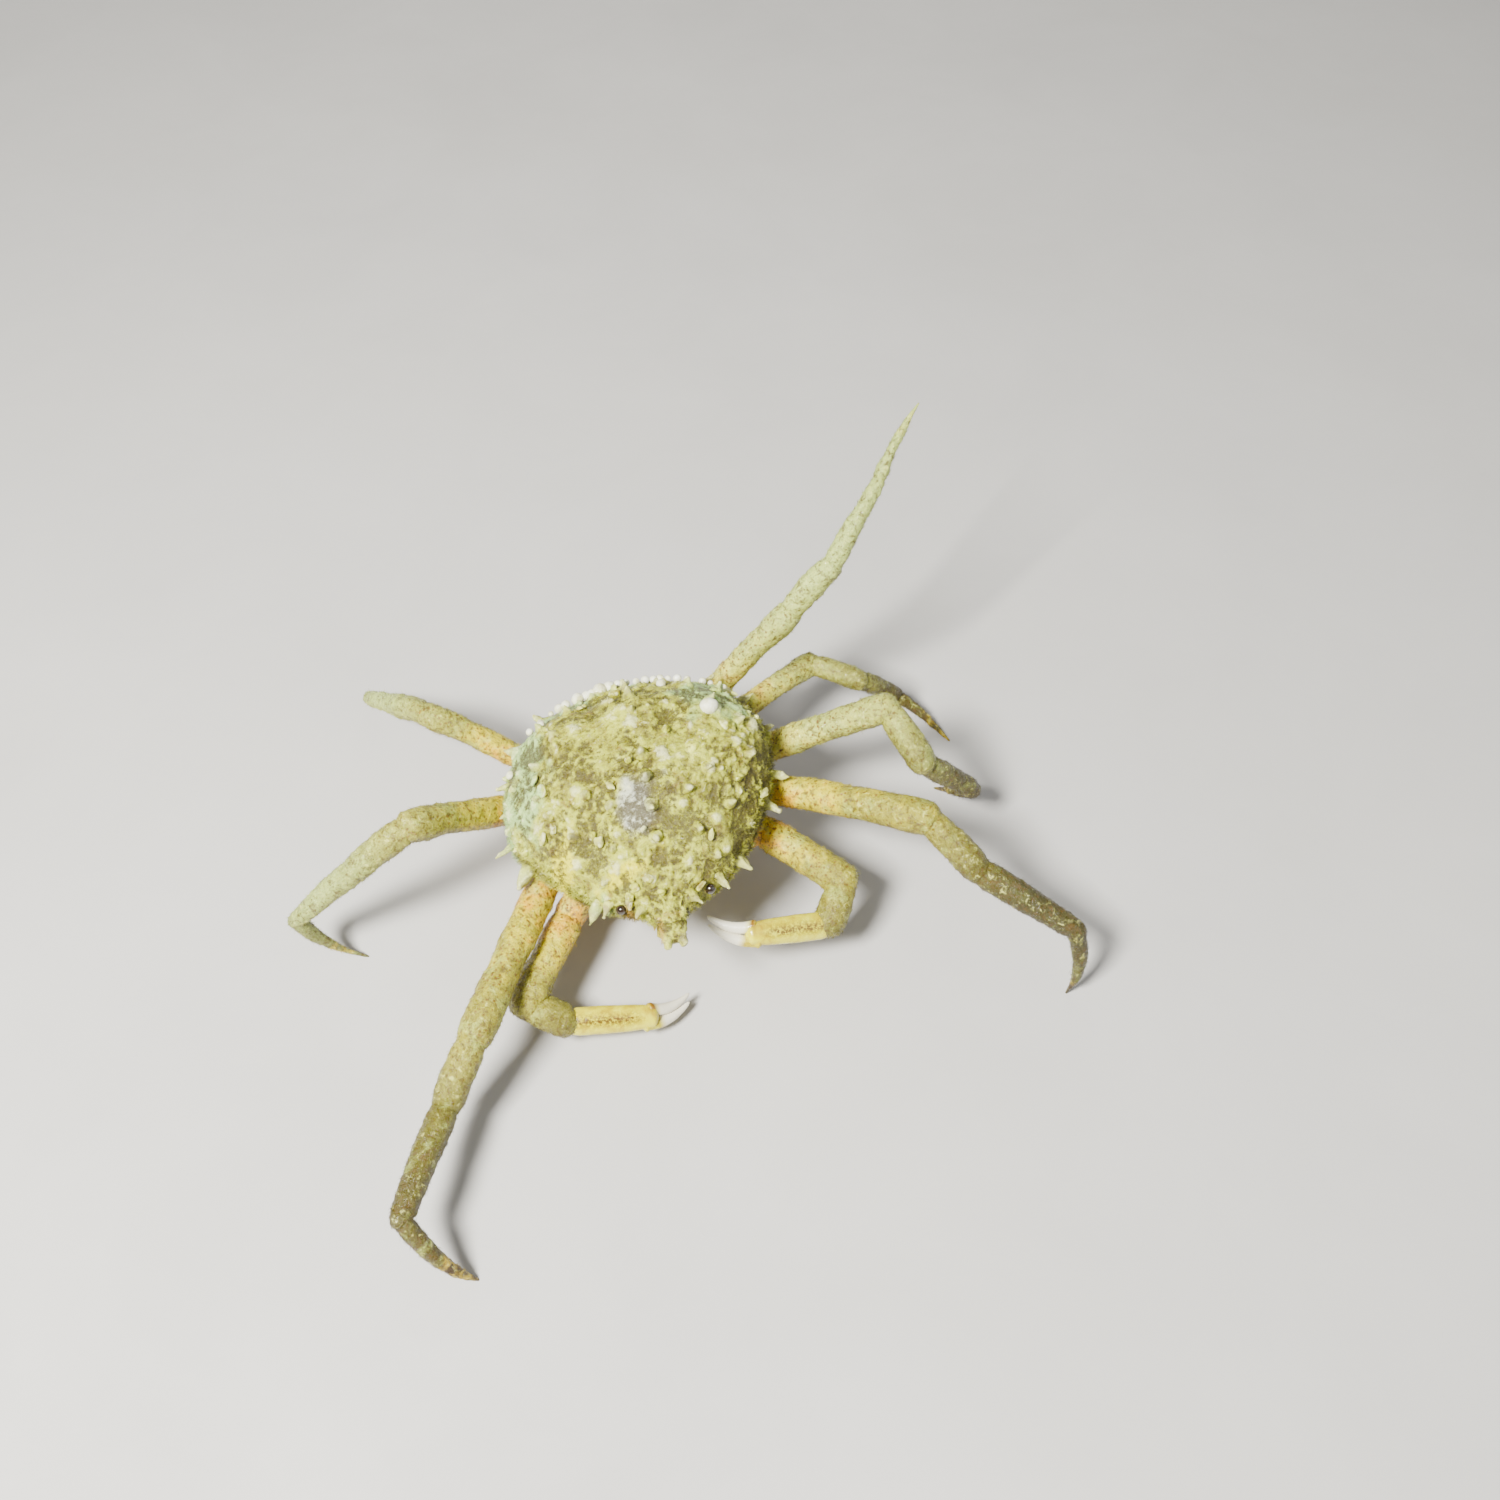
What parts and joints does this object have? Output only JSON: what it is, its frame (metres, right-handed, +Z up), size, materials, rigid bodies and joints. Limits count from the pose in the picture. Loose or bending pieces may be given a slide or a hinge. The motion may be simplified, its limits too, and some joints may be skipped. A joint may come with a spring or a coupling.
{
  "type": "spider crab",
  "caption": "Still life-size model of a portly spider crab: spiny rounded shell, forked snout, slim pale claws, long walking legs, one rear leg raised.",
  "frame": {"origin": "on the floor, under the middle of the crab's box", "axes": "the crab looks along -Y, its left side is +X, +Z is up"},
  "size_m": [0.1874, 0.1722, 0.0953],
  "materials": {
    "shell": "rough crusted shell, mottled khaki, tan and pale green",
    "belly": "smooth pale yellow underside",
    "leg": "fuzzy legs, yellow at the body and olive brown further out",
    "claw": "smooth pale yellow palms",
    "fingertip": "smooth white fingers",
    "eye": "wet dark eyes"
  },
  "bodies": {
    "root": {"carapace": "shell", "thorax": "belly", "tail_flap": "belly", "mouthpart_left": "belly", "eye_left": "eye", "feeler_left": "leg", "claw_left_base": "leg", "claw_left_merus": "leg", "claw_left_carpus": "leg", "claw_left_palm": "claw", "claw_left_finger": "fingertip", "leg_1_left_base": "leg", "leg_1_left_merus": "leg", "leg_1_left_carpus": "leg", "leg_1_left_propodus": "leg", "leg_1_left_dactyl": "leg", "leg_2_left_base": "leg", "leg_2_left_merus": "leg", "leg_2_left_carpus": "leg", "leg_2_left_propodus": "leg", "leg_2_left_dactyl": "leg", "leg_3_left_base": "leg", "leg_3_left_merus": "leg", "leg_3_left_carpus": "leg", "leg_3_left_propodus": "leg", "leg_3_left_dactyl": "leg", "leg_4_left_base": "leg", "leg_4_left_merus": "leg", "leg_4_left_carpus": "leg", "leg_4_left_propodus": "leg", "leg_4_left_dactyl": "leg", "mouthpart_right": "belly", "eye_right": "eye", "feeler_right": "leg", "claw_right_base": "leg", "claw_right_merus": "leg", "claw_right_carpus": "leg", "claw_right_palm": "claw", "claw_right_finger": "fingertip", "leg_1_right_base": "leg", "leg_1_right_merus": "leg", "leg_1_right_carpus": "leg", "leg_1_right_propodus": "leg", "leg_1_right_dactyl": "leg", "leg_2_right_base": "leg", "leg_2_right_merus": "leg", "leg_2_right_carpus": "leg", "leg_2_right_propodus": "leg", "leg_2_right_dactyl": "leg", "leg_3_right_base": "leg", "leg_3_right_merus": "leg", "leg_3_right_carpus": "leg", "leg_3_right_propodus": "leg", "leg_3_right_dactyl": "leg", "leg_4_right_base": "leg", "leg_4_right_merus": "leg", "leg_4_right_carpus": "leg", "leg_4_right_propodus": "leg", "leg_4_right_dactyl": "leg"}
  },
  "joints": []
}
